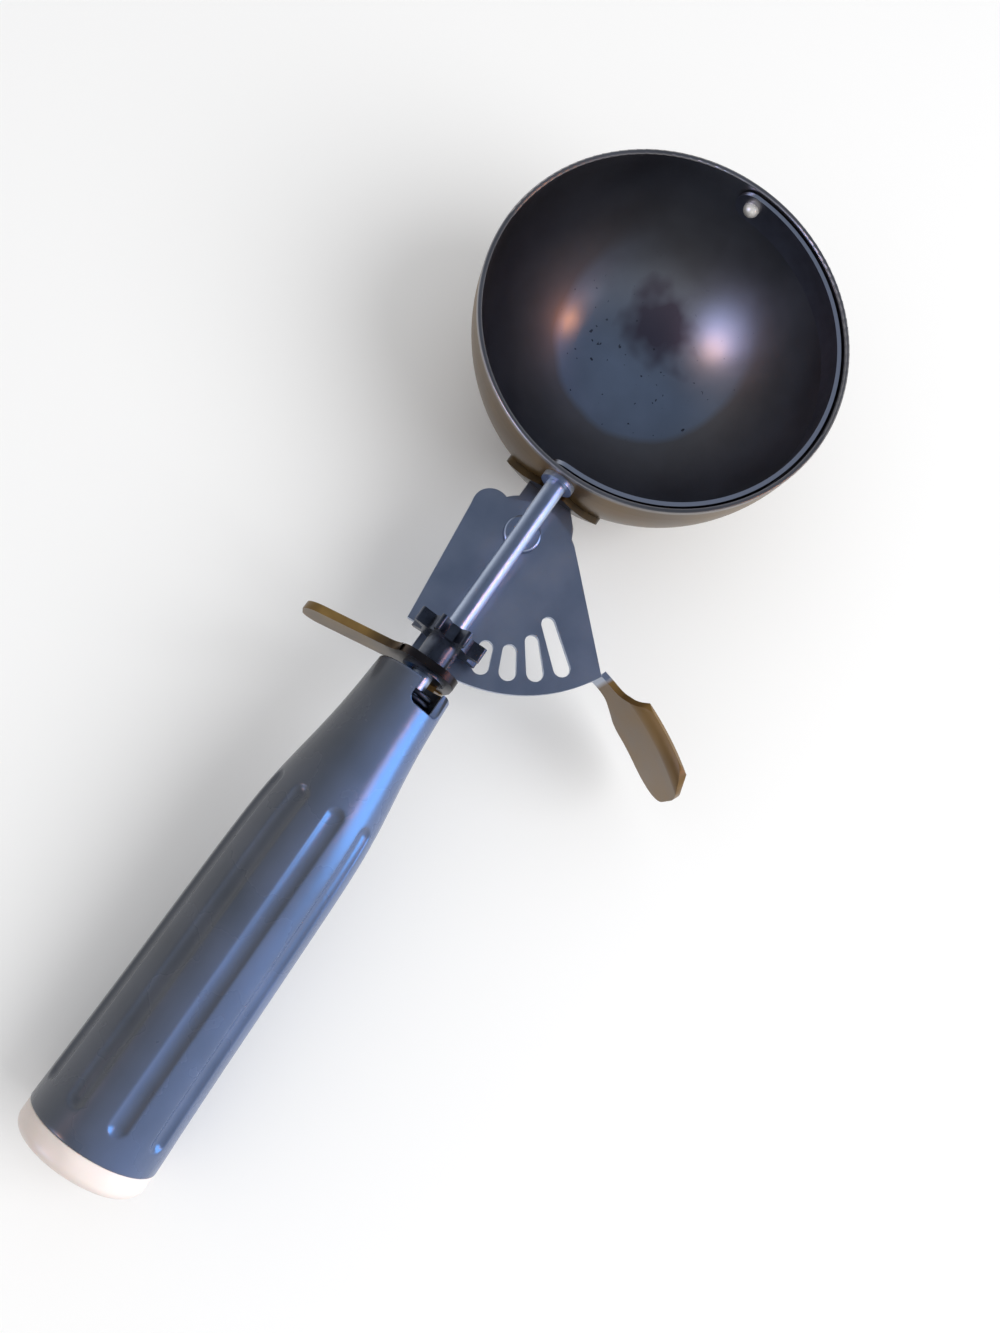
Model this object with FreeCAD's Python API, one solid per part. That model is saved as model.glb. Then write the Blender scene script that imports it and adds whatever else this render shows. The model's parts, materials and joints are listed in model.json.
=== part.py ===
import FreeCAD, Part
import math
import os

from FreeCAD import Placement, Rotation, Vector

# Lever ice cream scoop, in millimetres.
# It is drawn in the tool's own axes: X runs along the spindle towards the bowl, Z is square to
# the rim, and the origin is the centre of the bowl's sphere. At the end everything is laid down
# on its bowl and handle end, and the origin moves to the middle of the footprint.

# Bowl
bowl_radius = 36.0
bowl_wall = 1.0
rim_height = 4.2
rim_round = 0.4

# Spindle, which carries the pinion and turns the scraper
spindle_radius = 1.9
spindle_tail_x = -105.0
tenon_side = 2.6
tenon_head_radius = 2.2
tenon_head_height = 0.9
running_fit = 0.05
bushing_wall = 0.9
bushing_flange_radius = 3.2
clip_inset = 2.0
clip_thickness = 0.7
clip_overhang = 1.6
groove_depth = 0.5

# Scraper blade, a spring steel strip that follows the inside of the bowl
blade_gap = 0.35
blade_thickness = 0.8
blade_width = 7.0

# Far pivot, at the side of the bowl away from the handle
pivot_pin_radius = 1.3
pivot_dome_radius = 1.6

# Rack and pinion: slots in the lever plate take the place of a rack
pinion_teeth = 8
gear_ratio = 4.0
pinion_pitch_radius = 6.15
pinion_root_radius = 4.9
pinion_tip_radius = 7.2
tooth_root_width = 2.5
tooth_tip_width = 1.1
pinion_face = 2.8
pinion_setback = 0.6
hub_radius = 3.1
hub_length = 4.1
pinion_pin_radius = 0.6
pinion_pin_inset = 1.3

# Lever plate
pivot_x = -46.4
plate_top = -5.8
plate_thickness = 1.2
fan_radius = 29.9
slot_outer_radius = 27.5
slot_inner_radii = [21.0, 21.0, 20.7, 18.8, 16.0]
slot_width_outer = 3.3
slot_width_inner = 2.7
flange_depth = 7.0
flange_bend = 1.6
flange_angle = 243.6
paddle_top = 0.3
paddle_height = 20.0
paddle_reach = 26.0
paddle_bow = 1.6
lip_bend = 3.4
lip_angle = 50.0
rivet_radius = 2.0
rivet_head_radius = 3.5
rivet_head_height = 1.0
rivet_head_gap = 0.25
rivet_foot_height = 0.8
washer_radius = 4.2

# Frame
frame_thickness = 2.5
frame_gap = 0.6
pad_radius = 8.1
saddle_thickness = 1.4
bar_end_x = -79.4
wall_front_x = -77.6
wall_thickness = 1.5
wall_top = 5.0
wall_half_width = 5.8
tab_top = 1.2
tab_reach = 24.0
tab_turn = 9.0

# Handle, a little to the left of the spindle
handle_front_x = -80.6
handle_end_x = -170.0
handle_drop_front = -1.6
handle_drop_end = -5.5
handle_side = 0.6
neck_radius = 7.3
handle_end_radius = 11.75
bore_radius = 5.0
bore_end_x = -107.0
flute_count = 9
flute_radius = 2.2
flute_depth = 0.75
flute_offset = 13.5
flute_start = 27.5
flute_end_inset = 6.0
notch_depth = 4.6
notch_left = -0.3
notch_floor = 1.2
tang_thickness = 2.4
tang_end_x = -150.0
plug_radius = 6.5
plug_length = 9.0
cap_length = 6.0
cap_radius = 11.7
cap_round = 3.2
spring_outer_radius = 4.4
spring_inner_radius = 2.8

slot_pitch = 360.0 / pinion_teeth / gear_ratio
pinion_x = pivot_x - pinion_pitch_radius * gear_ratio - pinion_setback
hub_x = pinion_x - pinion_face / 2 - pinion_pin_inset
clip_x = spindle_tail_x + clip_inset
bushing_radius = spindle_radius + running_fit + bushing_wall
rear_bushing_radius = hub_radius + 0.4
blade_outer = bowl_radius - bowl_wall - blade_gap
blade_inner = blade_outer - blade_thickness
plate_bottom = plate_top - plate_thickness
frame_top = plate_bottom - frame_gap
frame_bottom = frame_top - frame_thickness
handle_length = math.hypot(handle_front_x - handle_end_x, handle_drop_front - handle_drop_end)
handle_tilt = math.degrees(math.atan2(handle_drop_front - handle_drop_end, handle_front_x - handle_end_x))

X_AXIS = Vector(1, 0, 0)
Y_AXIS = Vector(0, 1, 0)
Z_AXIS = Vector(0, 0, 1)


def polar(radius, angle, centre_x=0.0):
    """A point at an angle in degrees from +X, seen from above, about a centre on the X axis."""
    a = math.radians(angle)
    return Vector(centre_x + radius * math.cos(a), radius * math.sin(a), 0)


def cylinder_x(radius, x0, x1, y=0.0, z=0.0):
    """A round bar along X from x0 to x1."""
    return Part.makeCylinder(radius, abs(x1 - x0), Vector(min(x0, x1), y, z), X_AXIS)


def box(x0, x1, y0, y1, z0, z1):
    """A block between two corners."""
    return Part.makeBox(x1 - x0, y1 - y0, z1 - z0, Vector(x0, y0, z0))


def line(a, b):
    return Part.LineSegment(a, b).toShape()


def arc(a, b, c):
    return Part.Arc(a, b, c).toShape()


def face_of(edges):
    """A flat face inside a closed run of edges."""
    return Part.Face(Part.Wire(edges))


def polygon(points):
    """A flat face through corner points."""
    return Part.Face(Part.makePolygon(points + [points[0]]))


def rounded_outline(points, radii):
    """A flat face through corner points, each corner rounded by its own radius."""
    edges = []
    ends = []
    count = len(points)
    for i in range(count):
        here = points[i]
        back = (points[i - 1] - here).normalize()
        ahead = (points[(i + 1) % count] - here).normalize()
        if radii[i] <= 0:
            ends.append((here, None, here))
            continue
        half = back.getAngle(ahead) / 2
        reach = radii[i] / math.tan(half)
        middle = (back + ahead).normalize()
        mid_point = here + middle * (radii[i] / math.sin(half) - radii[i])
        ends.append((here + back * reach, mid_point, here + ahead * reach))
    for i in range(count):
        start, middle, stop = ends[i]
        if middle is not None:
            edges.append(arc(start, middle, stop))
        nxt = ends[(i + 1) % count][0]
        if (nxt - stop).Length > 1e-6:
            edges.append(line(stop, nxt))
    return face_of(edges)


def make_bowl():
    """A spun hemisphere with a short straight rim, rounded at its edge."""
    inner = bowl_radius - bowl_wall
    s = math.sqrt(0.5)
    edges = [
        arc(Vector(0, 0, -bowl_radius), Vector(bowl_radius * s, 0, -bowl_radius * s), Vector(bowl_radius, 0, 0)),
        line(Vector(bowl_radius, 0, 0), Vector(bowl_radius, 0, rim_height)),
        line(Vector(bowl_radius, 0, rim_height), Vector(inner, 0, rim_height)),
        line(Vector(inner, 0, rim_height), Vector(inner, 0, 0)),
        arc(Vector(inner, 0, 0), Vector(inner * s, 0, -inner * s), Vector(0, 0, -inner)),
        line(Vector(0, 0, -inner), Vector(0, 0, -bowl_radius)),
    ]
    bowl = face_of(edges).revolve(Vector(0, 0, 0), Z_AXIS, 360)
    rim_edges = [e for e in bowl.Edges if e.BoundBox.ZMin > rim_height - 1e-3 and e.BoundBox.XLength > inner]
    bowl = bowl.makeFillet(rim_round, rim_edges)
    bowl = bowl.cut(cylinder_x(bushing_radius, -bowl_radius - 5, -inner + 5))
    return bowl.cut(cylinder_x(pivot_pin_radius + running_fit, inner - 5, bowl_radius + 5))


def make_bowl_bushing():
    """A flanged bearing in the bowl's wall, its inner end trimmed flush with the wall."""
    sleeve = cylinder_x(bushing_radius, -bowl_radius - 0.9, -bowl_radius + bowl_wall)
    flange = cylinder_x(bushing_flange_radius, -bowl_radius - 1.0, -bowl_radius + 0.2)
    outside = Part.makeSphere(bowl_radius).fuse(Part.makeCylinder(bowl_radius, rim_height))
    body = sleeve.fuse(flange.cut(outside)).removeSplitter()
    return body.cut(cylinder_x(spindle_radius + running_fit, -bowl_radius - 5, -bowl_radius + 5))


def make_saddle():
    """A shield-shaped pad, pressed to the outside of the bowl and welded there."""
    x = -50.0
    points = [Vector(x, -2.6, -3.6), Vector(x, 2.6, -3.6), Vector(x, 11.0, -12.4), Vector(x, 8.0, -20.5),
              Vector(x, -8.0, -20.5), Vector(x, -11.0, -12.4)]
    outline = rounded_outline(points, [1.0, 1.0, 2.5, 4.5, 4.5, 2.5]).extrude(Vector(40, 0, 0))
    shell = Part.makeSphere(bowl_radius + saddle_thickness).cut(Part.makeSphere(bowl_radius))
    return shell.common(outline)


def make_frame_bar():
    """The bar that joins bowl and handle, with a round pad under the lever's pivot."""
    z = Vector(0, 0, frame_bottom)
    up = Vector(0, 0, frame_thickness)
    points = [Vector(-30, -4.8, 0), Vector(-30, 4.6, 0), Vector(bar_end_x, 4.6, 0),
              Vector(bar_end_x, -5.2, 0)]
    bar = rounded_outline([p + z for p in points], [0, 0, 1.0, 1.0]).extrude(up)
    pad = Part.makeCylinder(pad_radius, frame_thickness, Vector(pivot_x, 0, frame_bottom))
    flare = [Vector(-35, -3.0, 0), Vector(pivot_x, -3.0, 0), Vector(pivot_x + 1.0, -pad_radius + 0.05, 0),
             Vector(pivot_x + 4.9, -8.5, 0), Vector(-38.9, -7.3, 0), Vector(-36.2, -4.8, 0)]
    flare = rounded_outline([p + z for p in flare], [0, 0, 0, 1.0, 2.0, 2.0]).extrude(up)
    # The stem thickens downwards where it meets the pad on the bowl.
    foot = rivet_head_radius + 0.4
    web = polygon([Vector(-33.0, -1.5, frame_bottom), Vector(pivot_x + foot, -1.5, frame_bottom),
                   Vector(-31.0, -1.5, frame_bottom - 9.0), Vector(-28.0, -1.5, frame_bottom - 9.0)])
    web = web.extrude(Vector(0, 3.0, 0))
    bar = bar.fuse([pad, flare, web]).removeSplitter()
    bar = bar.cut(Part.makeSphere(bowl_radius + saddle_thickness))
    return bar.cut(Part.makeCylinder(rivet_radius, 10, Vector(pivot_x, 0, frame_bottom - 3)))


def make_bearing_wall():
    """An upright sheet that carries the spindle's rear bearing and turns out into a finger tab."""
    x = wall_front_x
    t = wall_thickness
    turn = math.radians(tab_turn)
    bend_y = wall_half_width
    end = Vector(x - math.sin(turn) * (tab_reach - bend_y), bend_y + math.cos(turn) * (tab_reach - bend_y), 0)
    points = [Vector(x, -wall_half_width - 1, 0), Vector(x, bend_y, 0), end,
              end + Vector(-t * math.cos(turn), -t * math.sin(turn), 0),
              Vector(x - t, bend_y - t * math.tan(turn / 2), 0), Vector(x - t, -wall_half_width - 1, 0)]
    plan = polygon([p + Vector(0, 0, frame_top) for p in points])
    sheet = plan.extrude(Vector(0, 0, wall_top - frame_top))
    w = wall_half_width
    x0 = x - 12
    corners = [Vector(x0, -5.2, frame_top), Vector(x0, -w, -4.0), Vector(x0, -w, wall_top), Vector(x0, w, wall_top),
               Vector(x0, w, tab_top), Vector(x0, tab_reach - 0.4, tab_top), Vector(x0, tab_reach - 0.4, frame_top)]
    outline = rounded_outline(corners, [0, 1.0, 4.2, 3.0, 2.4, 3.2, 3.2])
    wall = sheet.common(outline.extrude(Vector(20, 0, 0)))
    return wall.cut(cylinder_x(rear_bushing_radius, x - 5, x + 5))


def make_rear_bushing():
    """A bearing sleeve in the upright wall."""
    x0 = wall_front_x - wall_thickness - 0.6
    sleeve = cylinder_x(rear_bushing_radius, x0, wall_front_x)
    collar = cylinder_x(rear_bushing_radius + 0.7, x0, wall_front_x - wall_thickness)
    return sleeve.fuse(collar).removeSplitter().cut(cylinder_x(spindle_radius + running_fit, x0 - 1, wall_front_x + 1))


def slot_shape(inner_radius, angle, outer_radius=slot_outer_radius):
    """One tapered slot with round ends, cut right through the plate."""
    top = Vector(0, 0, plate_top + 2)
    r_in = slot_width_inner / 2
    r_out = slot_width_outer / 2
    a = inner_radius + r_in
    b = outer_radius - r_out
    lean = math.asin((r_out - r_in) / (b - a))
    c, s = math.cos(lean), math.sin(lean)
    p1 = Vector(a - r_in * s, r_in * c, 0)
    p2 = Vector(b - r_out * s, r_out * c, 0)
    p3 = Vector(b - r_out * s, -r_out * c, 0)
    p4 = Vector(a - r_in * s, -r_in * c, 0)
    edges = [line(p1, p2), arc(p2, Vector(b + r_out, 0, 0), p3), line(p3, p4), arc(p4, Vector(a - r_in, 0, 0), p1)]
    face = face_of(edges)
    face.Placement = Placement(Vector(pivot_x, 0, 0) + top, Rotation(Z_AXIS, angle))
    return face.extrude(Vector(0, 0, -plate_thickness - 4))


def paddle_strip(start, out, across):
    """An upright sheet, bowed in plan, whose top leans outwards in a soft lip."""
    t = plate_thickness
    middle = start + out * (paddle_reach / 2) - across * paddle_bow
    bow = arc(start - out * 0.2, middle, start + out * paddle_reach).Curve
    centre = bow.Center
    inner = bow.Radius
    lean = math.radians(lip_angle)
    bend_z = paddle_top - (lip_bend + t) * math.sin(lean) + 0.02
    bend_r = inner + t + lip_bend

    def on_bend(radius, share):
        a = lean * share
        return Vector(bend_r - radius * math.cos(a), 0, bend_z + radius * math.sin(a))

    near = lip_bend
    far = lip_bend + t
    edges = [line(Vector(inner, 0, -40), Vector(inner, 0, bend_z)),
             arc(on_bend(far, 0), on_bend(far, 0.5), on_bend(far, 1)),
             line(on_bend(far, 1), on_bend(near, 1)),
             arc(on_bend(near, 1), on_bend(near, 0.5), on_bend(near, 0)),
             line(Vector(inner + t, 0, bend_z), Vector(inner + t, 0, -40)),
             line(Vector(inner + t, 0, -40), Vector(inner, 0, -40))]
    toward = start - out * 0.2 - centre
    first = math.degrees(math.atan2(toward.y, toward.x))
    toward = start + out * paddle_reach - centre
    last = math.degrees(math.atan2(toward.y, toward.x))
    sweep = (last - first + 180.0) % 360.0 - 180.0
    sheet = face_of(edges)
    sheet.Placement = Placement(centre, Rotation(Z_AXIS, first))
    return sheet.revolve(centre, Z_AXIS, sweep)


def make_lever_plate():
    """One stamped sheet: rounded lobe, slotted fan, turned-down flange and thumb paddle."""
    fan_start = polar(fan_radius, 177.0, pivot_x)
    fan_middle = polar(fan_radius, 215.0, pivot_x)
    flange_out = polar(fan_radius + 0.1, flange_angle, pivot_x)
    flange_in = Vector(-42.3, -9.3, 0)
    step = Vector(-71.2, fan_start.y, 0)
    corner = Vector(-71.5, 8.2, 0)
    lobe_left = Vector(-46.6, 11.0, 0)
    lobe_top = Vector(-42.6, 9.8, 0)
    lobe_right = Vector(-42.2, 6.0, 0)
    nose = Vector(-39.3, -1.6, 0)
    edges = [
        arc(fan_start, fan_middle, flange_out),
        line(flange_out, flange_in),
        arc(flange_in, Vector(-40.2, -5.6, 0), nose),
        arc(nose, Vector(-40.4, 2.6, 0), lobe_right),
        arc(lobe_right, lobe_top, lobe_left),
        line(lobe_left, corner),
        line(corner, step),
        line(step, fan_start),
    ]
    plan = face_of(edges)
    plan.translate(Vector(0, 0, plate_bottom))
    plate = plan.extrude(Vector(0, 0, plate_thickness))
    # The gap on the lobe's side of the first web is open, so that the pinion's first tooth has room.
    plate = plate.cut(slot_shape(slot_inner_radii[0], 180.0 - slot_pitch / 2, fan_radius + 4))
    for k in range(len(slot_inner_radii)):
        plate = plate.cut(slot_shape(slot_inner_radii[k], 180.0 + slot_pitch * (k + 0.5)))

    # The flange and the paddle stand upright: their plan is a bent strip and their height an outline.
    t = plate_thickness
    along = (flange_out - flange_in).normalize()
    side = Vector(-along.y, along.x, 0)
    if side.dot(Vector(pivot_x, 0, 0) - flange_in) < 0:
        side = side * -1
    flange_plan = polygon([flange_in, flange_out, flange_out + side * t, flange_in + side * t])
    flange_plan.translate(Vector(0, 0, plate_top - flange_depth))
    flange = flange_plan.extrude(Vector(0, 0, flange_depth))

    out = polar(1.0, flange_angle)
    across = Vector(out.y, -out.x, 0)
    strip = paddle_strip(flange_out, out, across)
    # The outline of the paddle in its own plane: u runs outwards, w is the height.
    base = plate_top - flange_depth
    low = paddle_top - paddle_height
    tip = paddle_reach - 0.2
    corners = [(-0.5, plate_top), (4.5, plate_top), (9.0, paddle_top), (tip, paddle_top), (tip, low), (9.5, low),
               (3.5, base), (-0.5, base)]
    radii = [0, 3.0, 3.5, 6.5, 8.5, 4.5, 4.0, 0]
    side_on = [flange_out + out * u + Vector(0, 0, w) - across * 12 for u, w in corners]
    outline = rounded_outline(side_on, radii).extrude(across * 24)
    paddle = strip.common(outline)
    # The bend of the flange is rounded on its outside by trimming the corner to a quarter round.
    bend = flange_bend
    length = (flange_out - flange_in).Length
    corner_bar = Part.makeBox(length + 2, bend, bend, Vector(-1, 0, -bend))
    corner_bar = corner_bar.cut(Part.makeCylinder(bend, length + 4, Vector(-2, bend, -bend), X_AXIS))
    turn = Rotation(along, side, Z_AXIS, "XYZ")
    corner_bar.Placement = Placement(flange_in + Vector(0, 0, plate_top), turn)
    plate = plate.fuse(flange).cut(corner_bar)
    plate = plate.fuse(paddle).removeSplitter()
    return plate.cut(Part.makeCylinder(rivet_radius + running_fit, 10, Vector(pivot_x, 0, plate_bottom - 3)))


def make_lever_rivet():
    """A shouldered rivet: a low head over the plate and a peened end under the frame bar."""
    top = plate_top + rivet_head_gap
    shank = Part.makeCylinder(rivet_radius, top - frame_bottom, Vector(pivot_x, 0, frame_bottom))
    head = Part.makeCylinder(rivet_head_radius, rivet_head_height, Vector(pivot_x, 0, top))
    head = head.makeFillet(0.5, [e for e in head.Edges if abs(e.BoundBox.ZMin - top - rivet_head_height) < 1e-6])
    foot = Part.makeCylinder(rivet_head_radius, rivet_foot_height, Vector(pivot_x, 0, frame_bottom - rivet_foot_height))
    return shank.fuse([head, foot]).removeSplitter()


def make_lever_washer():
    """A flat washer between the frame bar and the lever plate."""
    height = frame_gap - 0.2
    ring = Part.makeCylinder(washer_radius, height, Vector(pivot_x, 0, frame_top))
    return ring.cut(Part.makeCylinder(rivet_radius, height, Vector(pivot_x, 0, frame_top)))


def make_spindle():
    """The shaft, with a square tenon through the blade and a peened head inside the bowl."""
    shoulder = -blade_outer
    shaft = cylinder_x(spindle_radius, spindle_tail_x, shoulder)
    half = tenon_side / 2
    tenon = box(shoulder, -blade_inner + 0.3, -half, half, -half, half)
    head = cylinder_x(tenon_head_radius, -blade_inner, -blade_inner + tenon_head_height)
    head = head.makeFillet(0.45, [e for e in head.Edges if e.BoundBox.XMin > -blade_inner + tenon_head_height - 1e-3
                                  and e.BoundBox.XLength < 1e-6]).common(Part.makeSphere(blade_inner))
    shaft = shaft.fuse([tenon, head]).removeSplitter()
    half_groove = clip_thickness / 2 + 0.05
    groove = cylinder_x(spindle_radius + 1, clip_x - half_groove, clip_x + half_groove)
    groove = groove.cut(cylinder_x(spindle_radius - groove_depth, clip_x - 1, clip_x + 1))
    shaft = shaft.cut(groove)
    pin_hole = Part.makeCylinder(pinion_pin_radius, 20, Vector(hub_x, 0, -10))
    return shaft.cut(pin_hole)


def make_pinion():
    """Eight tapered teeth on a hub; at rest a gap between two teeth faces the slotted plate."""
    x0 = pinion_x - pinion_face / 2
    body = cylinder_x(pinion_root_radius, x0, x0 + pinion_face)
    teeth = []
    for k in range(pinion_teeth):
        a = 360.0 / pinion_teeth * (k + 0.5)
        r0 = pinion_root_radius - 1.0
        r1 = pinion_tip_radius
        w0 = tooth_root_width / 2
        w1 = tooth_tip_width / 2
        tooth = face_of([
            line(Vector(x0, -w0, -r0), Vector(x0, -w1, -r1 + 0.35)),
            arc(Vector(x0, -w1, -r1 + 0.35), Vector(x0, 0, -r1), Vector(x0, w1, -r1 + 0.35)),
            line(Vector(x0, w1, -r1 + 0.35), Vector(x0, w0, -r0)),
            line(Vector(x0, w0, -r0), Vector(x0, -w0, -r0)),
        ]).extrude(Vector(pinion_face, 0, 0))
        tooth.rotate(Vector(0, 0, 0), X_AXIS, a)
        teeth.append(tooth)
    hub = cylinder_x(hub_radius, x0 - hub_length, x0)
    body = body.fuse(teeth + [hub]).removeSplitter()
    body = body.cut(cylinder_x(spindle_radius, x0 - hub_length - 1, x0 + pinion_face + 1))
    return body.cut(Part.makeCylinder(pinion_pin_radius, 20, Vector(hub_x, 0, -10)))


def make_pinion_pin():
    """The cross pin that locks the pinion's hub to the spindle."""
    half = hub_radius - 0.1
    return Part.makeCylinder(pinion_pin_radius, 2 * half, Vector(hub_x, 0, -half))


def make_blade():
    """A strip of the bowl's inner sphere, with a round eye at each end on the spindle's line."""
    shell = Part.makeSphere(blade_outer).cut(Part.makeSphere(blade_inner))
    half = blade_width / 2
    strip = shell.common(box(-bowl_radius, bowl_radius, -bowl_radius, 0, -half, half))
    eyes = shell.common(cylinder_x(half, -bowl_radius, bowl_radius))
    blade = strip.fuse(eyes).removeSplitter()
    side = tenon_side / 2
    blade = blade.cut(box(-bowl_radius, -bowl_radius + 5, -side, side, -side, side))
    return blade.cut(cylinder_x(pivot_pin_radius, bowl_radius - 6, bowl_radius))


def make_far_pin():
    """The pivot pin at the far side, with a domed head inside the bowl."""
    shank = cylinder_x(pivot_pin_radius, blade_inner - 0.3, bowl_radius + 0.5)
    dome = Part.makeSphere(pivot_dome_radius, Vector(blade_inner - 0.1, 0, 0))
    dome = dome.common(cylinder_x(pivot_dome_radius + 1, blade_inner - 5, blade_inner - 0.1))
    collar = cylinder_x(pivot_dome_radius, blade_inner - 0.1, blade_inner + 0.5).common(Part.makeSphere(blade_inner))
    return shank.fuse([dome, collar]).removeSplitter()


def handle_frame():
    """Where the handle's own axis starts, and how it leans: X runs from the front to the end cap."""
    start = Vector(handle_front_x, handle_side, handle_drop_front)
    return Placement(start, Rotation(Y_AXIS, 180.0 - handle_tilt))


def make_handle():
    """A moulded grip: slim neck, short cone, long fluted barrel, bored for spring and tang."""
    stations = [(0.0, neck_radius), (5.0, 7.58), (10.0, 7.95), (15.0, 8.5), (20.0, 9.2), (25.0, 9.9), (30.0, 10.43),
                (35.0, 10.7), (45.0, 10.93), (60.0, 11.15), (75.0, 11.4), (handle_length, handle_end_radius)]
    curve = Part.BSplineCurve()
    curve.interpolate([Vector(x, 0, r) for x, r in stations])
    edges = [line(Vector(0, 0, 0), Vector(0, 0, stations[0][1])), curve.toShape(),
             line(Vector(handle_length, 0, stations[-1][1]), Vector(handle_length, 0, 0)),
             line(Vector(handle_length, 0, 0), Vector(0, 0, 0))]
    grip = face_of(edges).revolve(Vector(0, 0, 0), X_AXIS, 360)
    front = [e for e in grip.Edges if e.BoundBox.XMax < 1e-3 and e.BoundBox.YLength > 10]
    grip = grip.makeFillet(0.8, front)
    flute_end = handle_length - flute_end_inset
    start_radius = curve.value(curve.parameter(Vector(flute_start, 0, 10.0))).z
    end_radius = curve.value(curve.parameter(Vector(flute_end, 0, 11.6))).z
    for k in range(flute_count):
        a = math.radians(270.0 - flute_offset + 360.0 / flute_count * k)
        r0 = start_radius + flute_radius - flute_depth
        r1 = end_radius + flute_radius - flute_depth
        p0 = Vector(flute_start, r0 * math.cos(a), r0 * math.sin(a))
        p1 = Vector(flute_end, r1 * math.cos(a), r1 * math.sin(a))
        direction = p1 - p0
        groove = Part.makeCylinder(flute_radius, direction.Length, p0, direction)
        groove = groove.fuse([Part.makeSphere(flute_radius, p0), Part.makeSphere(flute_radius, p1)])
        grip = grip.cut(groove)
    # The socket for the end cap's plug.
    grip = grip.cut(cylinder_x(plug_radius, handle_length - plug_length, handle_length + 1))
    grip.Placement = handle_frame()
    grip = grip.cut(cylinder_x(bore_radius, bore_end_x, handle_front_x + 5, 0, 0))
    # A rounded notch in the neck's rim, on the thumb's side, shows the spindle's tail.
    notch_back = handle_front_x - notch_depth
    notch_box = box(notch_back, handle_front_x + 3, -neck_radius - 3, notch_left, notch_floor, 12)
    notch_box = notch_box.makeFillet(1.6, [e for e in notch_box.Edges if e.BoundBox.XMax < notch_back + 0.1
                                           and e.BoundBox.ZLength > 5])
    grip = grip.cut(notch_box)
    return grip.cut(tang_shape())


def tang_shape():
    """The flat tang: a tapered bar welded on the end of the frame bar."""
    z0 = frame_top
    front_x = wall_front_x - wall_thickness
    points = [Vector(front_x, -3.4, z0), Vector(front_x, 3.4, z0), Vector(tang_end_x, 2.4, z0),
              Vector(tang_end_x, -2.4, z0)]
    return polygon(points).extrude(Vector(0, 0, tang_thickness))


def make_end_cap():
    """A pressed-in cap with a softly rounded edge and a plug."""
    start = handle_length
    head = cylinder_x(cap_radius, start, start + cap_length)
    rounded = [e for e in head.Edges if e.BoundBox.XMin > start + cap_length - 1e-3 and e.BoundBox.YLength > 5]
    head = head.makeFillet(cap_round, rounded)
    plug = cylinder_x(plug_radius, start - plug_length + 1, start)
    cap = head.fuse(plug).removeSplitter()
    cap.Placement = handle_frame()
    return cap


def make_return_spring():
    """The coiled torsion spring round the spindle's tail, as the sleeve that its turns fill."""
    outer = cylinder_x(spring_outer_radius, bore_end_x + 6.0, handle_front_x - 1.5)
    return outer.cut(cylinder_x(spring_inner_radius, bore_end_x, handle_front_x + 1))


def make_retaining_clip():
    """The clip in the groove near the spindle's tail."""
    half = clip_thickness / 2
    ring = cylinder_x(spindle_radius + clip_overhang, clip_x - half, clip_x + half)
    ring = ring.cut(cylinder_x(spindle_radius - groove_depth, clip_x - 1, clip_x + 1))
    return ring.cut(box(clip_x - 1, clip_x + 1, -0.9, 0.9, 0, 6))


makers = {
    "bowl": make_bowl,
    "bowl_bushing": make_bowl_bushing,
    "bowl_saddle": make_saddle,
    "frame_bar": make_frame_bar,
    "bearing_wall": make_bearing_wall,
    "rear_bushing": make_rear_bushing,
    "handle_tang": tang_shape,
    "handle_grip": make_handle,
    "end_cap": make_end_cap,
    "return_spring": make_return_spring,
    "lever_rivet": make_lever_rivet,
    "lever_washer": make_lever_washer,
    "lever_plate": make_lever_plate,
    "spindle": make_spindle,
    "pinion": make_pinion,
    "pinion_pin": make_pinion_pin,
    "retaining_clip": make_retaining_clip,
    "scraper_blade": make_blade,
    "blade_pivot_pin": make_far_pin,
}

# The scoop lies on the bowl's underside and the lower edge of the handle.
# The ground touches the bowl's sphere and the rounded edge of the cap, whose centre is worked out first.
cap_edge = handle_frame().multVec(Vector(handle_length + cap_length - cap_round, 0, cap_radius - cap_round))
lie_angle = math.degrees(math.asin((bowl_radius - cap_round) / cap_edge.Length)) - math.degrees(
    math.atan2(-cap_edge.z, -cap_edge.x))
lay_down = Placement(Vector(0, 0, bowl_radius), Rotation(Y_AXIS, -lie_angle))

pieces = {}
for name, maker in makers.items():
    pieces[name] = maker()

whole = Part.makeCompound([shape.copy() for shape in pieces.values()])
whole.Placement = lay_down
box_all = whole.optimalBoundingBox(True, False)
to_middle = Vector(-(box_all.XMin + box_all.XMax) / 2, -(box_all.YMin + box_all.YMax) / 2, -box_all.ZMin)
home = Placement(to_middle, Rotation()).multiply(lay_down)

os.makedirs("parts", exist_ok=True)
for name, shape in pieces.items():
    moved = shape.copy()
    moved.transformShape(home.toMatrix(), False)
    moved.exportStep("parts/" + name + ".step")
    print("%-18s solids %d valid %s volume %.1f" % (name, len(moved.Solids), moved.isValid(), moved.Volume))

print("size %.2f x %.2f x %.2f" % (box_all.XLength, box_all.YLength, box_all.ZLength))
print("lie angle %.3f" % lie_angle)
for label, point in (("bowl centre", Vector(0, 0, 0)), ("spindle at pinion", Vector(pinion_x, 0, 0)),
                     ("lever pivot", Vector(pivot_x, 0, plate_bottom)),
                     ("cap end", handle_frame().multVec(Vector(handle_length + cap_length, 0, 0)))):
    p = home.multVec(point)
    print("%s %.4f %.4f %.4f" % (label, p.x, p.y, p.z))
for label, axis in (("spindle axis", X_AXIS), ("lever axis", Z_AXIS),
                    ("handle axis", handle_frame().Rotation.multVec(X_AXIS))):
    d = home.Rotation.multVec(axis)
    print("%s %.6f %.6f %.6f" % (label, d.x, d.y, d.z))
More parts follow.
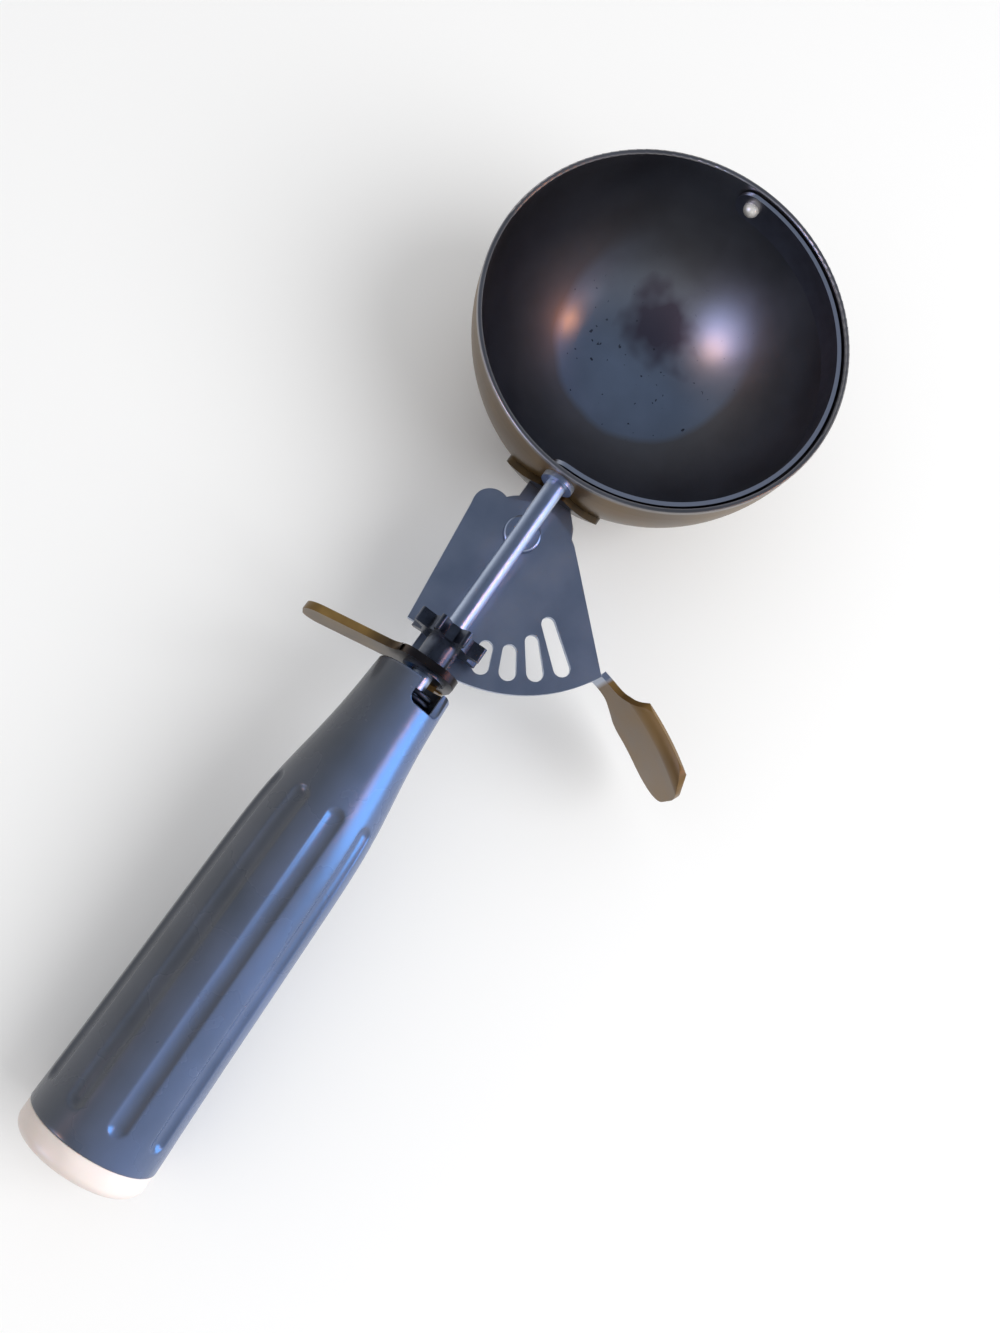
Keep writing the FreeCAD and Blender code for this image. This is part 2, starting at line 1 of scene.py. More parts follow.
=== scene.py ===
# %% [markdown]
# # A lever ice cream scoop
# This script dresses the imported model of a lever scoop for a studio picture. The solids and their
# joints come from the frame. This file adds the camera, the finishes, small worn edges on the
# stamped and cut metal, a softly moulded grip and cap, a wound return spring, and the light.

# %% Load the frame
import json
import math

import bmesh
import bpy
import numpy as np
from mathutils import Matrix, Vector

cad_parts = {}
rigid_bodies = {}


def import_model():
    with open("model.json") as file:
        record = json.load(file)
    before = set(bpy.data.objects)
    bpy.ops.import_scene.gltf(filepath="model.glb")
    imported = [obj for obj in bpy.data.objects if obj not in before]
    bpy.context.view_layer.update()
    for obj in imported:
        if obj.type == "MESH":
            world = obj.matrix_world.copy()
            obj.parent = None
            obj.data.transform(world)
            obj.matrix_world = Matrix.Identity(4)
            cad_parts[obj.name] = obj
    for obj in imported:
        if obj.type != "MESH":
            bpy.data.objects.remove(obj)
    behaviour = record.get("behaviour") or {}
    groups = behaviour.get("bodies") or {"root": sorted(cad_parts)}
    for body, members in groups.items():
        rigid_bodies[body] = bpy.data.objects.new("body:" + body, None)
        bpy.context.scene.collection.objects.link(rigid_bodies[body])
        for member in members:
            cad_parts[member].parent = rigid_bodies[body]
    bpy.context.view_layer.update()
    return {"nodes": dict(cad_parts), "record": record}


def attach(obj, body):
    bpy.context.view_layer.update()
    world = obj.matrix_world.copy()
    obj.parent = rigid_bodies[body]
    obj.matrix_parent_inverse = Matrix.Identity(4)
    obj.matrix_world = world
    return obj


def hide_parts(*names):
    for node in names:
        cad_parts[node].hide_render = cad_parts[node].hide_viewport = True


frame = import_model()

# %% [markdown]
# ## The tool's own axes
# The scoop lies on its bowl and on the edge of its end cap, so its spindle leans a few degrees.
# New shapes could be written straight in the frame's metres, but then every formula would carry
# that lean. They are far easier to write in the tool's own axes, with x along the spindle towards
# the bowl, z square to the rim and the origin at the centre of the bowl's sphere. One function
# turns such points, in millimetres, into the frame's metres.

# %% From the tool's axes to the frame
LEAN_COS, LEAN_SIN = 0.994058, 0.108856
BOWL_CENTRE = np.array([69.6133, 7.2757, 36.0])
LAY = np.array([[LEAN_COS, 0.0, -LEAN_SIN], [0.0, 1.0, 0.0], [LEAN_SIN, 0.0, LEAN_COS]])
MM = 0.001


def laid(points):
    """Turn points by the lean about y, add the bowl's centre, and go from millimetres to metres."""
    return (np.asarray(points, float) @ LAY.T + BOWL_CENTRE) * MM


print("bowl centre, metres:", laid([[0, 0, 0]])[0].round(4))

# %% [markdown]
# ## The camera
# The photograph looks steeply down on the scoop from behind the handle, close enough that the
# handle's end looks larger than it would from far away. A camera could be placed by eye, but every
# comparison with the photograph would then be off a little. So its place and turn were fitted to
# the rim, the fan, its slots, the spindle and both edges of the grip.

# %% Camera
SENSOR, LENS = 36.0, 31.1735          # millimetres
CLIP_NEAR, CLIP_FAR = 0.01, 50.0      # metres
CAMERA_PLACE = Vector((-0.06861, 0.00667, 0.21838))
RIGHT = Vector((0.52959, -0.81620, 0.23098))
UP = Vector((0.77851, 0.57581, 0.24972))
BACK = Vector((-0.33682, 0.04757, 0.94037))

camera_data = bpy.data.cameras.new("camera")
camera_data.sensor_fit = "VERTICAL"
camera_data.sensor_height = SENSOR
camera_data.lens = LENS
camera_data.clip_start = CLIP_NEAR
camera_data.clip_end = CLIP_FAR
camera = bpy.data.objects.new("camera", camera_data)
bpy.context.scene.collection.objects.link(camera)
turn = Matrix((RIGHT, UP, BACK)).transposed()
camera.matrix_world = Matrix.Translation(CAMERA_PLACE) @ turn.to_4x4()
bpy.context.scene.camera = camera
bpy.context.scene.view_settings.view_transform = "Standard"
print("camera looks along", (-BACK)[:])

# %% [markdown]
# ## Helpers for finishes
# Every colour is written as the hex value a designer would pick on screen, and one function turns
# it into the linear numbers that the shader adds and multiplies. A node takes several lines of
# code to add, set and link, so one more function does all of that for any node, and gives a ramp
# its stops.

# %% Colour and node helpers


def linear(hex_colour):
    """sRGB hex to linear: a value c over 0.04045 becomes ((c + 0.055) / 1.055) to the power 2.4,
    and a smaller one c / 12.92."""
    parts = np.array([int(hex_colour[i:i + 2], 16) for i in (1, 3, 5)]) / 255.0
    out = np.where(parts > 0.04045, ((parts + 0.055) / 1.055) ** 2.4, parts / 12.92)
    return (*out.tolist(), 1.0)


def add(tree, kind, inputs=None, stops=None, **settings):
    """Add one node, set its properties, and fill its sockets with values or with other sockets."""
    node = tree.nodes.new("ShaderNode" + kind)
    for key, value in settings.items():
        setattr(node, key, value)
    for key, value in (inputs or {}).items():
        if isinstance(value, bpy.types.NodeSocket):
            tree.links.new(value, node.inputs[key])
        else:
            node.inputs[key].default_value = value
    if stops:
        elements = node.color_ramp.elements
        while len(elements) < len(stops):
            elements.new(0.5)
        for element, (position, colour) in zip(elements, stops):
            element.position = position
            element.color = linear(colour)
    return node


def shader(name, **sockets):
    """A new material with its Principled shader; sockets are plain values on the shader itself."""
    material = bpy.data.materials.new(name)
    material.use_nodes = True
    tree = material.node_tree
    surface = tree.nodes["Principled BSDF"]
    for key, value in sockets.items():
        surface.inputs[key.replace("_", " ")].default_value = value
    place = add(tree, "TexCoord").outputs["Object"]
    return material, tree, surface, place


def per_metre(size_mm):
    """A texture's scale from the size of its blotches: how many of them fit in a metre."""
    return 1000.0 / size_mm


print("white is", linear("#ffffff"), " a 9 mm blotch has scale", round(per_metre(9.0), 1))

# %% Values that several finishes share
# A Mapping node with these turns Object coordinates back into the tool's own axes, in metres.
TO_TOOL = {
    "Rotation": (0.0, math.atan2(LEAN_SIN, LEAN_COS), 0.0),
    "Location": tuple((-(BOWL_CENTRE @ LAY) * MM).tolist()),
}
# Nearly all of a noise lies between these two, so they stand for its lowest and its highest.
NOISE_SPAN = {"From Min": 0.3, "From Max": 0.7}
# Several sockets of a Mix node share one name, so its sockets go by their numbers.
FACTOR, COLOUR_A, COLOUR_B, MIXED = 0, 6, 7, 2
print("tool shift", [round(v, 4) for v in TO_TOOL["Location"]])

# %% [markdown]
# ## Steel sheet
# The lever and the frame bar are stamped from stainless sheet and tumbled. To the eye that is a
# pale satin face, whose reflections are blurred, with a faint grain and with soft clouds where
# hands and water have dulled it. One even grey would look like paint, so one noise makes the
# clouds, which change the tint and the gloss together, and a finer one makes the grain. The thumb
# paddle gets a painted straw-brown reflection, all but its upper edge, which stays bare steel.
# Painting it on would need an image, so a mask picks what lies beyond the fan and below that edge.

# %% Satin stainless sheet: a fine grain over soft clouds
CLOUD_MM = 9.0
# Real tumbling marks are hundredths of a millimetre wide, too fine to show, so they are drawn
# 0.4 mm wide, which just shows.
GRAIN_MM, GRAIN_DEPTH_MM = 0.4, 0.006
sheet_steel, tree, surface, place = shader("satin_stainless_sheet", Metallic=1.0)
clouds = add(tree, "TexNoise",
             {"Vector": place, "Scale": per_metre(CLOUD_MM), "Detail": 3.0}).outputs["Fac"]
grain = add(tree, "TexNoise",
            {"Vector": place, "Scale": per_metre(GRAIN_MM), "Detail": 2.0}).outputs["Fac"]
tint = add(tree, "ValToRGB", {"Fac": clouds},
           stops=[(0.3, "#a8b2c5"), (0.55, "#b6bfcf"), (0.8, "#c3c8d2")]).outputs["Color"]
rough = add(tree, "MapRange", {"Value": clouds, **NOISE_SPAN, "To Min": 0.30, "To Max": 0.42})
relief = add(tree, "Bump", {"Height": grain, "Distance": GRAIN_DEPTH_MM * MM})
tree.links.new(rough.outputs["Result"], surface.inputs["Roughness"])
tree.links.new(relief.outputs["Normal"], surface.inputs["Normal"])
print("sheet nodes before the stain:", len(tree.nodes))

# %% The painted brown reflection's mask and colour
# In metres: the lever's pivot, the distance from it where the painted brown reflection starts and
# over which it comes in, and the heights where the lip is left bare steel and where the painted
# brown is whole.
PIVOT = (-0.0464, 0.0, 0.0)
BROWN_RADIUS, BROWN_FADE = 0.0308, 0.001
LIP_BARE, LIP_PAINTED = 0.0009, 0.0004
PADDLE_PAINTED_METALLIC = 0.3
tool = add(tree, "Mapping", {"Vector": place, **TO_TOOL}).outputs["Vector"]
offset = add(tree, "VectorMath", {0: tool, 1: PIVOT}, operation="SUBTRACT").outputs["Vector"]
flat = add(tree, "VectorMath", {0: offset, 1: (1.0, 1.0, 0.0)},
           operation="MULTIPLY").outputs["Vector"]
radius = add(tree, "VectorMath", {0: flat}, operation="LENGTH").outputs["Value"]
beyond = add(tree, "MapRange", {"Value": radius, "From Min": BROWN_RADIUS,
                                "From Max": BROWN_RADIUS + BROWN_FADE}).outputs["Result"]
height = add(tree, "SeparateXYZ", {"Vector": tool}).outputs["Z"]
below = add(tree, "MapRange", {"Value": height, "From Min": LIP_BARE,
                               "From Max": LIP_PAINTED}).outputs["Result"]
painted_brown_mask = add(tree, "Math", {0: beyond, 1: below}, operation="MULTIPLY").outputs[0]
# Painted reflection: this straw brown stands for a warm brown surrounding mirrored in the paddle.
painted_brown_tone = add(tree, "ValToRGB", {"Fac": clouds},
            stops=[(0.3, "#5c431e"), (0.7, "#745728")]).outputs["Color"]
colour = add(tree, "Mix", {FACTOR: painted_brown_mask, COLOUR_A: tint, COLOUR_B: painted_brown_tone}, data_type="RGBA")
# Where the brown reflection is painted, the metal mirrors less, so the painted brown shows.
bare = add(tree, "MapRange", {"Value": painted_brown_mask, "To Min": 1.0, "To Max": PADDLE_PAINTED_METALLIC})
tree.links.new(bare.outputs["Result"], surface.inputs["Metallic"])
tree.links.new(colour.outputs[MIXED], surface.inputs["Base Color"])
print("sheet nodes:", len(tree.nodes))

# %% [markdown]
# ## Bowl steel
# The bowl is spun over a former and polished. To the eye its inside is a hazy mirror, with a
# painted reflection, a paler bluish disc, on its floor, a darker blot and a few specks. An image
# could hold such marks, but it would stretch over the sphere. So each is a distance from a point in
# space, made ragged by a noise. Its outside has a painted straw-brown reflection, and the distance
# from the bowl's centre tells the two sides apart.

# %% Spun bowl steel: the hazy mirror
MARK_MM = 16.0
PIT_MM, PIT_DEPTH_MM = 1.1, 0.003
bowl_steel, tree, surface, place = shader("spun_stainless_bowl", Metallic=1.0)
tool = add(tree, "Mapping", {"Vector": place, **TO_TOOL}).outputs["Vector"]
axes = add(tree, "SeparateXYZ", {"Vector": tool}).outputs
marks = add(tree, "TexNoise",
            {"Vector": place, "Scale": per_metre(MARK_MM), "Detail": 3.0}).outputs["Fac"]
fine = add(tree, "TexNoise",
           {"Vector": place, "Scale": per_metre(PIT_MM), "Detail": 1.0}).outputs["Fac"]
rough = add(tree, "MapRange", {"Value": marks, **NOISE_SPAN, "To Min": 0.31, "To Max": 0.38})
relief = add(tree, "Bump", {"Height": fine, "Distance": PIT_DEPTH_MM * MM})
tree.links.new(rough.outputs["Result"], surface.inputs["Roughness"])
tree.links.new(relief.outputs["Normal"], surface.inputs["Normal"])
print("bowl nodes before the marks:", len(tree.nodes))

# %% The painted glow on its floor
# A painted reflection, a paler bluish disc 41 mm across, lies on the bowl's floor, and its middle
# lies towards the far side. It is whole near its middle and gone a little farther out, and it fades
# out towards the far side between two places along x. All of these are in metres.
GLOW_MIDDLE, GLOW_WHOLE, GLOW_GONE = (0.014, 0.001, 0.0), 0.0190, 0.0210
GLOW_RAGGED, GLOW_CLEAR_X, GLOW_FADED_X = 0.0008, 0.008, 0.030
flat = add(tree, "CombineXYZ", {"X": axes["X"], "Y": axes["Y"]}).outputs["Vector"]
away = add(tree, "VectorMath", {0: flat, 1: GLOW_MIDDLE}, operation="DISTANCE").outputs["Value"]
ragged = add(tree, "MapRange", {"Value": marks, **NOISE_SPAN, "To Min": -GLOW_RAGGED,
                                "To Max": GLOW_RAGGED}).outputs["Result"]
edge = add(tree, "Math", {0: away, 1: ragged}, operation="ADD").outputs[0]
disc = add(tree, "MapRange", {"Value": edge, "From Min": GLOW_GONE,
                              "From Max": GLOW_WHOLE}).outputs["Result"]
near_side = add(tree, "MapRange", {"Value": axes["X"], "From Min": GLOW_FADED_X,
                                   "From Max": GLOW_CLEAR_X}).outputs["Result"]
painted_glow = add(tree, "Math", {0: disc, 1: near_side}, operation="MULTIPLY").outputs[0]
# Painted reflection: the paler bluish tint stands for the lighter reflection seen on the bowl's
# floor.
unpainted_tint = add(tree, "ValToRGB", {"Fac": marks},
            stops=[(0.3, "#8f8c8b"), (0.7, "#9d9c9d")]).outputs["Color"]
painted_glow_tint = add(tree, "ValToRGB", {"Fac": marks},
            stops=[(0.35, "#9da9bb"), (0.65, "#b1bed2")]).outputs["Color"]
floor_tint = add(tree, "Mix", {FACTOR: painted_glow, COLOUR_A: unpainted_tint, COLOUR_B: painted_glow_tint},
                 data_type="RGBA").outputs[MIXED]
print("the pool's edge fades over", round((GLOW_GONE - GLOW_WHOLE) / MM, 1), "mm")

# %% The darker blot and the specks
# The blot is whole inside BLOT_WHOLE of its middle and gone at BLOT_GONE, in metres, and a slower
# noise moves its edge. The specks are the highest peaks of the fine noise, inside the painted glow.
BLOT_MIDDLE, BLOT_WHOLE, BLOT_GONE = (0.0185, 0.002, -0.0295), 0.0035, 0.0095
BLOT_RAGGED, WANDER_MM = 0.0045, 9.0
SPECK_START, SPECK_WHOLE = 0.725, 0.755
MARK_STRENGTH = 0.8
wander = add(tree, "TexNoise",
             {"Vector": place, "Scale": per_metre(WANDER_MM), "Detail": 2.0}).outputs["Fac"]
shift = add(tree, "MapRange", {"Value": wander, **NOISE_SPAN, "To Min": -BLOT_RAGGED,
                               "To Max": BLOT_RAGGED}).outputs["Result"]
away = add(tree, "VectorMath", {0: tool, 1: BLOT_MIDDLE}, operation="DISTANCE").outputs["Value"]
edge = add(tree, "Math", {0: away, 1: shift}, operation="ADD").outputs[0]
blot = add(tree, "MapRange", {"Value": edge, "From Min": BLOT_GONE, "From Max": BLOT_WHOLE,
                              "To Max": MARK_STRENGTH}).outputs["Result"]
blotted = add(tree, "Mix", {FACTOR: blot, COLOUR_A: floor_tint, COLOUR_B: linear("#62525f")},
              data_type="RGBA").outputs[MIXED]
dark = add(tree, "MapRange", {"Value": fine, "From Min": SPECK_START, "From Max": SPECK_WHOLE,
                              "To Max": MARK_STRENGTH}).outputs["Result"]
speck = add(tree, "Math", {0: dark, 1: painted_glow}, operation="MULTIPLY").outputs[0]
bowl_inside = add(tree, "Mix", {FACTOR: speck, COLOUR_A: blotted, COLOUR_B: linear("#2e2c33")},
                  data_type="RGBA").outputs[MIXED]
print("the blot's edge fades over", round((BLOT_GONE - BLOT_WHOLE) / MM, 1), "mm")

# %% Its painted brown outside
# The painted brown reflection lies outside the middle of the sheet's thickness and below the rim,
# in metres.
SHELL_MIDDLE, SHELL_FADE = 0.0355, 0.0003
RIM_BARE, RIM_PAINTED = 0.0040, 0.0030
BOWL_PAINTED_METALLIC = 0.45
# Above the sphere's middle the wall is straight, so height stops counting there.
low = add(tree, "Math", {0: axes["Z"], 1: 0.0}, operation="MINIMUM").outputs[0]
round_place = add(tree, "CombineXYZ", {"X": axes["X"], "Y": axes["Y"], "Z": low})
reach = add(tree, "VectorMath", {0: round_place.outputs["Vector"]},
            operation="LENGTH").outputs["Value"]
outer = add(tree, "MapRange", {"Value": reach, "From Min": SHELL_MIDDLE,
                               "From Max": SHELL_MIDDLE + SHELL_FADE}).outputs["Result"]
under_rim = add(tree, "MapRange", {"Value": axes["Z"], "From Min": RIM_BARE,
                                   "From Max": RIM_PAINTED}).outputs["Result"]
painted_brown_mask = add(tree, "Math", {0: outer, 1: under_rim}, operation="MULTIPLY").outputs[0]
# Painted reflection: this straw brown stands for a warm brown surrounding mirrored in the outside.
painted_brown = add(tree, "ValToRGB", {"Fac": marks},
            stops=[(0.35, "#513c1d"), (0.65, "#6c5229")]).outputs["Color"]
bare = add(tree, "MapRange", {"Value": painted_brown_mask, "To Min": 1.0, "To Max": BOWL_PAINTED_METALLIC})
tree.links.new(bare.outputs["Result"], surface.inputs["Metallic"])
colour = add(tree, "Mix", {FACTOR: painted_brown_mask, COLOUR_A: bowl_inside, COLOUR_B: painted_brown},
             data_type="RGBA")
tree.links.new(colour.outputs[MIXED], surface.inputs["Base Color"])
print("bowl nodes:", len(tree.nodes))

# %% [markdown]
# ## Turned steel
# The spindle and the pins are turned from bright bar, and look smoother than the sheet. The
# pinion and its hub are given a dark steel, nearly black with a wet gloss. The spring's wire is
# hard drawn, which leaves it a dull dark grey, and the pad under the bowl is sheet with a painted
# dark brown reflection. Each could have a node tree of its own, but they differ only in tone and
# gloss, so one function makes them all.

# %% Bright, dark and painted brown steel
TURNED_CLOUD_MM = 3.0


def metal(name, dark, light, roughness, metallic=1.0):
    """Bare metal: two close tones in 3 mm clouds, and a roughness that follows them."""
    material, tree, surface, place = shader(name, Metallic=metallic)
    marks = add(tree, "TexNoise", {"Vector": place, "Scale": per_metre(TURNED_CLOUD_MM),
                                   "Detail": 3.0}).outputs["Fac"]
    tint = add(tree, "ValToRGB", {"Fac": marks}, stops=[(0.3, dark), (0.7, light)])
    rough = add(tree, "MapRange", {"Value": marks, **NOISE_SPAN, "To Min": roughness[0],
                                   "To Max": roughness[1]})
    tree.links.new(tint.outputs["Color"], surface.inputs["Base Color"])
    tree.links.new(rough.outputs["Result"], surface.inputs["Roughness"])
    return material


bright_steel = metal("bright_turned_steel", "#aab6cc", "#b9c5d9", roughness=(0.3, 0.35))
dark_steel = metal("dark_pinion_steel", "#42454d", "#636873", roughness=(0.24, 0.36))
spring_wire = metal("hard_drawn_spring_wire", "#30333a", "#484c55", roughness=(0.3, 0.4))
# Painted reflection: the pad's dark brown stands for a brown surrounding mirrored under the bowl.
painted_brown_steel = metal("painted_brown_reflection_sheet", "#30261a", "#4c3b22", roughness=(0.28, 0.38))
print("metals:", [m.name for m in (bright_steel, dark_steel, spring_wire, painted_brown_steel)])

# %% [markdown]
# ## The finger wall
# The upright wall is stamped sheet too. Round the spindle it gets a painted dark reflection, nearly
# black, and out on its finger tab a painted straw-brown reflection. Two materials would meet in a
# hard line, so one material's colour follows the distance to the left.

# %% Wall with painted reflections
DARK_REFLECTION_END, TAB_PAINTED = 0.004, 0.012     # metres to the left of the spindle
WALL_CLOUD_MM, TAB_PAINTED_METALLIC = 6.0, 0.4
wall_steel, tree, surface, place = shader("wall_sheet_painted_reflections", Metallic=1.0, Roughness=0.33)
tool = add(tree, "Mapping", {"Vector": place, **TO_TOOL}).outputs["Vector"]
left = add(tree, "SeparateXYZ", {"Vector": tool}).outputs["Y"]
on_tab = add(tree, "MapRange", {"Value": left, "From Min": DARK_REFLECTION_END,
                                "From Max": TAB_PAINTED}).outputs["Result"]
clouds = add(tree, "TexNoise",
             {"Vector": place, "Scale": per_metre(WALL_CLOUD_MM), "Detail": 3.0}).outputs["Fac"]
# Painted reflections: nearly black round the spindle and straw brown on the tab.
painted_dark = add(tree, "ValToRGB", {"Fac": clouds},
              stops=[(0.3, "#2f2b2b"), (0.7, "#4b4543")]).outputs["Color"]
painted_brown = add(tree, "ValToRGB", {"Fac": clouds},
            stops=[(0.3, "#5b4521"), (0.7, "#7b6134")]).outputs["Color"]
bare = add(tree, "MapRange", {"Value": on_tab, "To Min": 1.0, "To Max": TAB_PAINTED_METALLIC})
tree.links.new(bare.outputs["Result"], surface.inputs["Metallic"])
colour = add(tree, "Mix", {FACTOR: on_tab, COLOUR_A: painted_dark, COLOUR_B: painted_brown}, data_type="RGBA")
tree.links.new(colour.outputs[MIXED], surface.inputs["Base Color"])
print("wall nodes:", len(tree.nodes))

# %% [markdown]
# ## Blade and pivot
# The scraper blade is thin spring steel. To the eye it is as dull as the bowl, with a painted
# highlight, a paler colour, along its upper edge. A separate strip could show that line, but the
# edge is the only part that faces up, so the surface's own direction picks it. The pivot's domed
# head is given a near-white colour, so that it shows white.

# %% Blade steel with a painted highlight, and the pale dome
BLADE_MM = 5.0
# How much the surface faces up, from 0 for not at all to 1 for fully, where the painted highlight
# starts and where it is whole.
HIGHLIGHT_START, HIGHLIGHT_WHOLE = 0.6, 0.9
blade_steel, tree, surface, place = shader("blade_steel_painted_highlight", Metallic=1.0, Roughness=0.34)
facing = add(tree, "TexCoord").outputs["Normal"]
up = add(tree, "VectorMath", {0: facing, 1: (-LEAN_SIN, 0.0, LEAN_COS)},
         operation="DOT_PRODUCT").outputs["Value"]
painted_highlight = add(tree, "MapRange",
             {"Value": up, "From Min": HIGHLIGHT_START, "From Max": HIGHLIGHT_WHOLE}).outputs["Result"]
marks = add(tree, "TexNoise",
            {"Vector": place, "Scale": per_metre(BLADE_MM), "Detail": 3.0}).outputs["Fac"]
tint = add(tree, "ValToRGB", {"Fac": marks},
           stops=[(0.3, "#908e93"), (0.7, "#a09fa6")]).outputs["Color"]
# Painted highlight: the up-facing edge gets this paler colour in place of light.
colour = add(tree, "Mix", {FACTOR: painted_highlight, COLOUR_A: tint, COLOUR_B: linear("#ccd1dc")},
             data_type="RGBA")
tree.links.new(colour.outputs[MIXED], surface.inputs["Base Color"])
pale_dome = metal("near_white_dome", "#dedad2", "#f0ede6", roughness=(0.36, 0.44), metallic=0.5)
print("blade nodes:", len(tree.nodes), " dome:", pale_dome.name)

# %% [markdown]
# ## Plastics
# The grip is moulded in grey-blue polypropylene. To the eye that is a soft gloss that breaks up
# slightly, like orange peel, and that handling has worn duller in patches. One even gloss would
# look new, so one noise sets the tone and the gloss and a finer one the peel. The end cap is the
# same plastic in ivory white, where light also travels a little way in.

# %% Moulded plastics
PEEL_MM, PEEL_DEPTH_MM = 1.6, 0.008
POLYPROPYLENE_IOR = 1.49
PATCH_LOW, PATCH_HIGH = 0.2, 0.8


def moulded(name, dark, light, roughness, patch_mm, **sockets):
    """Moulded plastic: two close tones in patches, a roughness that follows them, a fine peel."""
    material, tree, surface, place = shader(name, IOR=POLYPROPYLENE_IOR, **sockets)
    patches = add(tree, "TexNoise", {"Vector": place, "Scale": per_metre(patch_mm),
                                     "Detail": 4.0}).outputs["Fac"]
    peel = add(tree, "TexNoise", {"Vector": place, "Scale": per_metre(PEEL_MM),
                                  "Detail": 2.0}).outputs["Fac"]
    tint = add(tree, "ValToRGB", {"Fac": patches}, stops=[(PATCH_LOW, dark), (PATCH_HIGH, light)])
    rough = add(tree, "MapRange", {"Value": patches, "From Min": PATCH_LOW, "From Max": PATCH_HIGH,
                                   "To Min": roughness[0], "To Max": roughness[1]})
    relief = add(tree, "Bump", {"Height": peel, "Distance": PEEL_DEPTH_MM * MM})
    tree.links.new(tint.outputs["Color"], surface.inputs["Base Color"])
    tree.links.new(rough.outputs["Result"], surface.inputs["Roughness"])
    tree.links.new(relief.outputs["Normal"], surface.inputs["Normal"])
    return material


grip_plastic = moulded("moulded_grey_polypropylene", "#3c4047", "#484c56",
                       roughness=(0.22, 0.32), patch_mm=12.0)
cap_plastic = moulded("moulded_ivory_polypropylene", "#cdc0b9", "#d6cac3",
                      roughness=(0.3, 0.4), patch_mm=6.0,
                      Subsurface_Weight=0.15, Subsurface_Scale=0.002)
print("plastics:", grip_plastic.name, cap_plastic.name)

# %% [markdown]
# ## Finishes on the solids
# The bowl, the spindle, the pins and the other small parts have the right shape already. They
# could be built again here, but a second mesh would add nothing. So such a solid keeps its mesh
# and only gets a better finish, by its record's slot or, where it looks different from the others
# in that slot, by its own name.

# %% Give each CAD node its finish
FINISH = {
    "bowl_steel": bowl_steel,
    "sheet_steel": sheet_steel,
    "turned_steel": bright_steel,
    "spring_steel": spring_wire,
    "grip_plastic": grip_plastic,
    "cap_plastic": cap_plastic,
}
SPECIAL = {
    "pinion": dark_steel,
    "pinion_pin": dark_steel,
    "rear_bushing": dark_steel,
    "bearing_wall": wall_steel,
    "bowl_saddle": painted_brown_steel,
    "scraper_blade": blade_steel,
    "blade_pivot_pin": pale_dome,
}
SLOT_OF = {name: node.material_slots[0].material.name for name, node in frame["nodes"].items()}
BODIES = frame["record"]["behaviour"]["bodies"]
BODY_OF = {name: body for body, names in BODIES.items() for name in names}
for name, node in frame["nodes"].items():
    node.material_slots[0].material = SPECIAL.get(name, FINISH[SLOT_OF[name]])
print("slots in use:", sorted(set(SLOT_OF.values())))

# %% [markdown]
# ## Worn edges
# Stamping and tumbling round every edge of the sheet a little, and that tiny round is what
# catches the light along a slot. Drawing it by hand would take a new shape for each piece. It is
# simpler to copy the solid's mesh, join its loose triangles, melt the flat faces together and let
# a Bevel modifier turn each sharp edge; the copy then stands for the solid. A Weighted Normal
# modifier keeps the large faces shaded flat right up to the little rounds.

# %% Softened copies of the metal pieces
SHARP, NEARLY_FLAT = math.radians(35), math.radians(0.4)
MERGE_METRES = 2e-6
BEVEL_SEGMENTS = 2
LARGE_FACES_WIN = 100     # the strongest weight that the modifier can give to large faces
WORN_MM = {"lever_plate": 0.3, "frame_bar": 0.2, "bearing_wall": 0.2, "pinion": 0.12}


def softened(name, width_mm):
    """Copy a node, merge its doubles, dissolve what is flat, and bevel every edge over 35
    degrees."""
    mesh = bpy.data.meshes.new(name + "_worn")
    work = bmesh.new()
    work.from_mesh(frame["nodes"][name].data)
    bmesh.ops.remove_doubles(work, verts=work.verts, dist=MERGE_METRES)
    bmesh.ops.dissolve_limit(work, angle_limit=NEARLY_FLAT, verts=work.verts, edges=work.edges)
    work.to_mesh(mesh)
    work.free()
    mesh.polygons.foreach_set("use_smooth", np.ones(len(mesh.polygons), bool))
    mesh.materials.append(frame["nodes"][name].material_slots[0].material)
    piece = bpy.data.objects.new(name + "_worn", mesh)
    bpy.context.scene.collection.objects.link(piece)
    bevel = piece.modifiers.new("worn_edge", "BEVEL")
    bevel.width = width_mm * MM
    bevel.segments = BEVEL_SEGMENTS
    bevel.limit_method = "ANGLE"
    bevel.angle_limit = SHARP
    level = piece.modifiers.new("flat_faces", "WEIGHTED_NORMAL")
    level.weight = LARGE_FACES_WIN
    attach(piece, BODY_OF[name])
    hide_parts(name)
    return piece


for name, width in WORN_MM.items():
    made = softened(name, width)
    print(made.name, "faces", len(made.data.polygons))

# %% [markdown]
# ## Meshes from grids
# The grip, the cap and the spring are surfaces of two parameters. A Screw modifier and a bevelled
# curve could make the plainer two, but not the grip's notch and flutes, so all three are made
# one way. Their points come as one array, with a row for each step along and a column for each
# step around. This function sews neighbouring columns and rows into quads and closes the two ends
# with fans round a middle point.

# %% Grid to mesh


